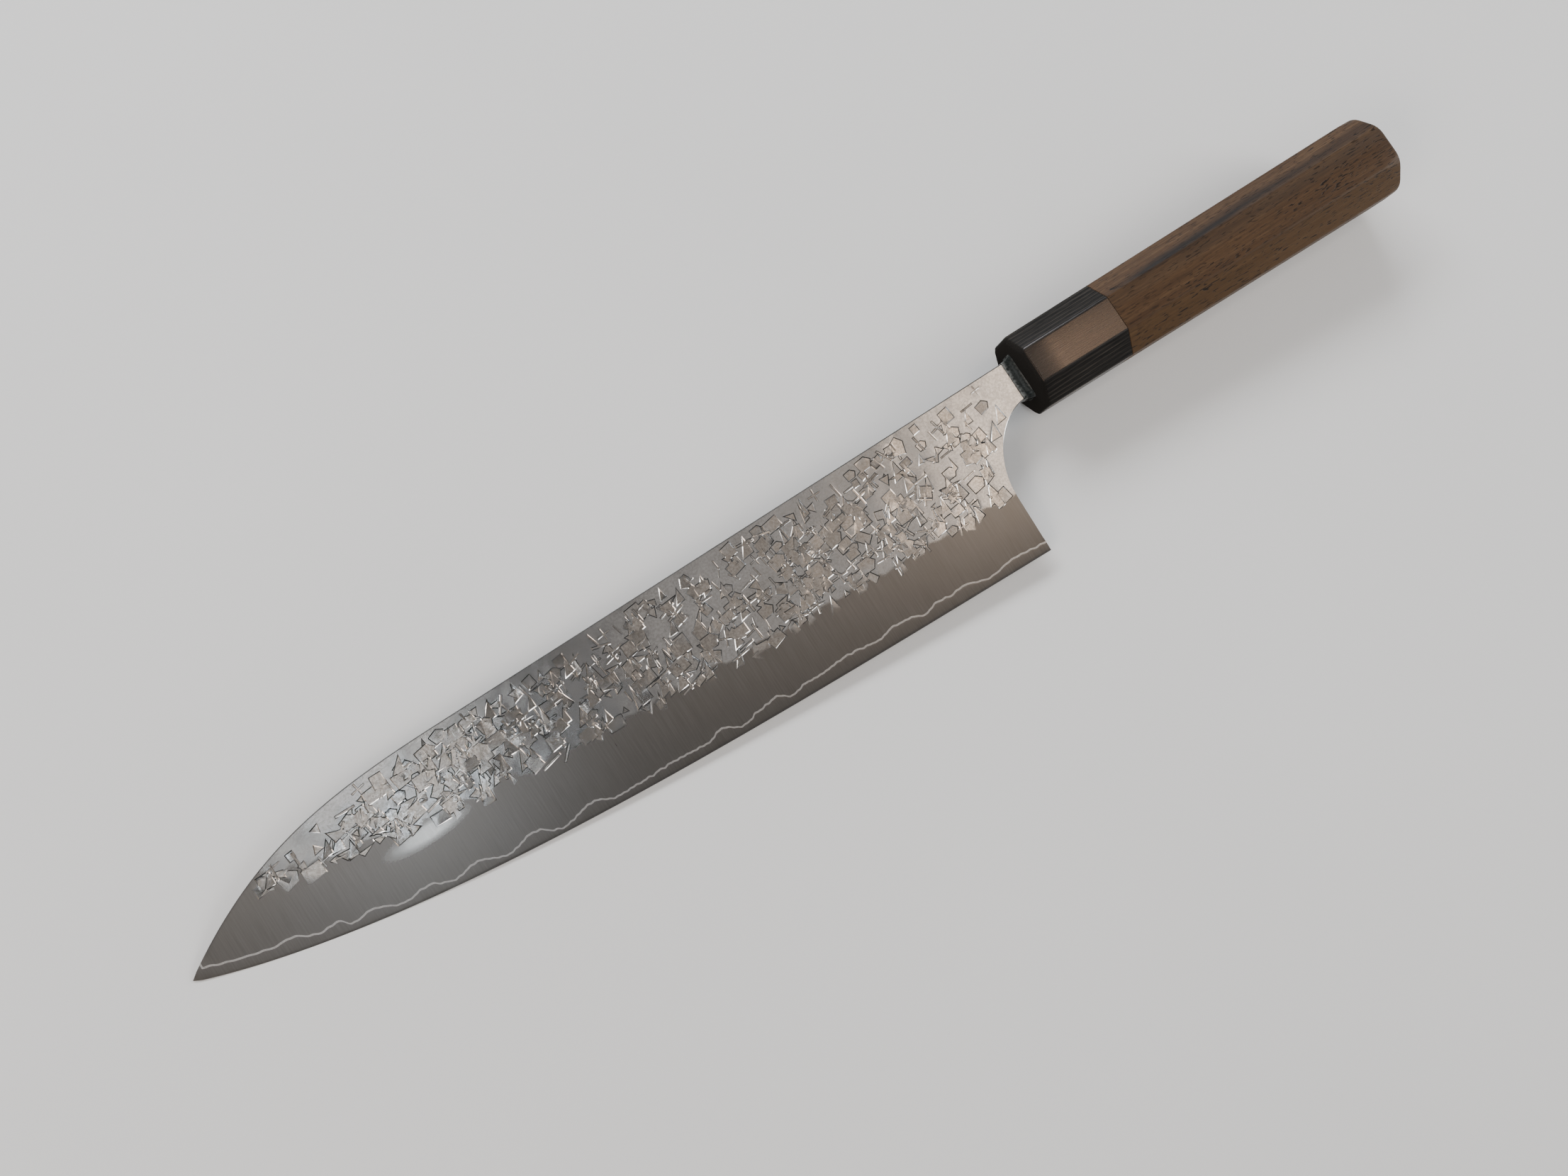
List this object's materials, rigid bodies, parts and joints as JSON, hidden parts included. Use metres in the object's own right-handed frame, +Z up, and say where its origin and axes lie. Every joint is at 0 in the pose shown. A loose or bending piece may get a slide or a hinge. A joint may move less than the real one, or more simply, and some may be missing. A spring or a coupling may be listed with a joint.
{
  "type": "chef knife",
  "caption": "Chef's knife with a layered, hammered blade, a wide ground bevel with a wavy border line, and an octagonal wooden handle with a dark ferrule.",
  "frame": {"origin": "middle of the footprint of the knife lying on its right side, on the surface it lies on", "axes": "+X from the tip towards the butt of the handle, +Y from the cutting edge towards the spine, +Z up, out of the blade's left face"},
  "size_m": [0.3956, 0.0574, 0.0254],
  "materials": {
    "core_steel": "fine satin, ground across the blade, polished at the edge",
    "nickel": "bright thin line",
    "cladding_steel": "hammered upper part, satin bevel",
    "black_laminate": "polished, resin-filled black veneers",
    "walnut": "satin oiled, open pores",
    "beech": "plain turned wood",
    "cured_resin": "cured adhesive",
    "clear_resin": "glossy translucent bead"
  },
  "bodies": {
    "root": {"blade_core": "core_steel", "left_nickel_foil": "nickel", "right_nickel_foil": "nickel", "left_cladding": "cladding_steel", "right_cladding": "cladding_steel", "ferrule": "black_laminate", "handle_body": "walnut", "joining_dowel": "beech", "tang_adhesive": "cured_resin", "mouth_seal": "clear_resin"}
  },
  "joints": []
}
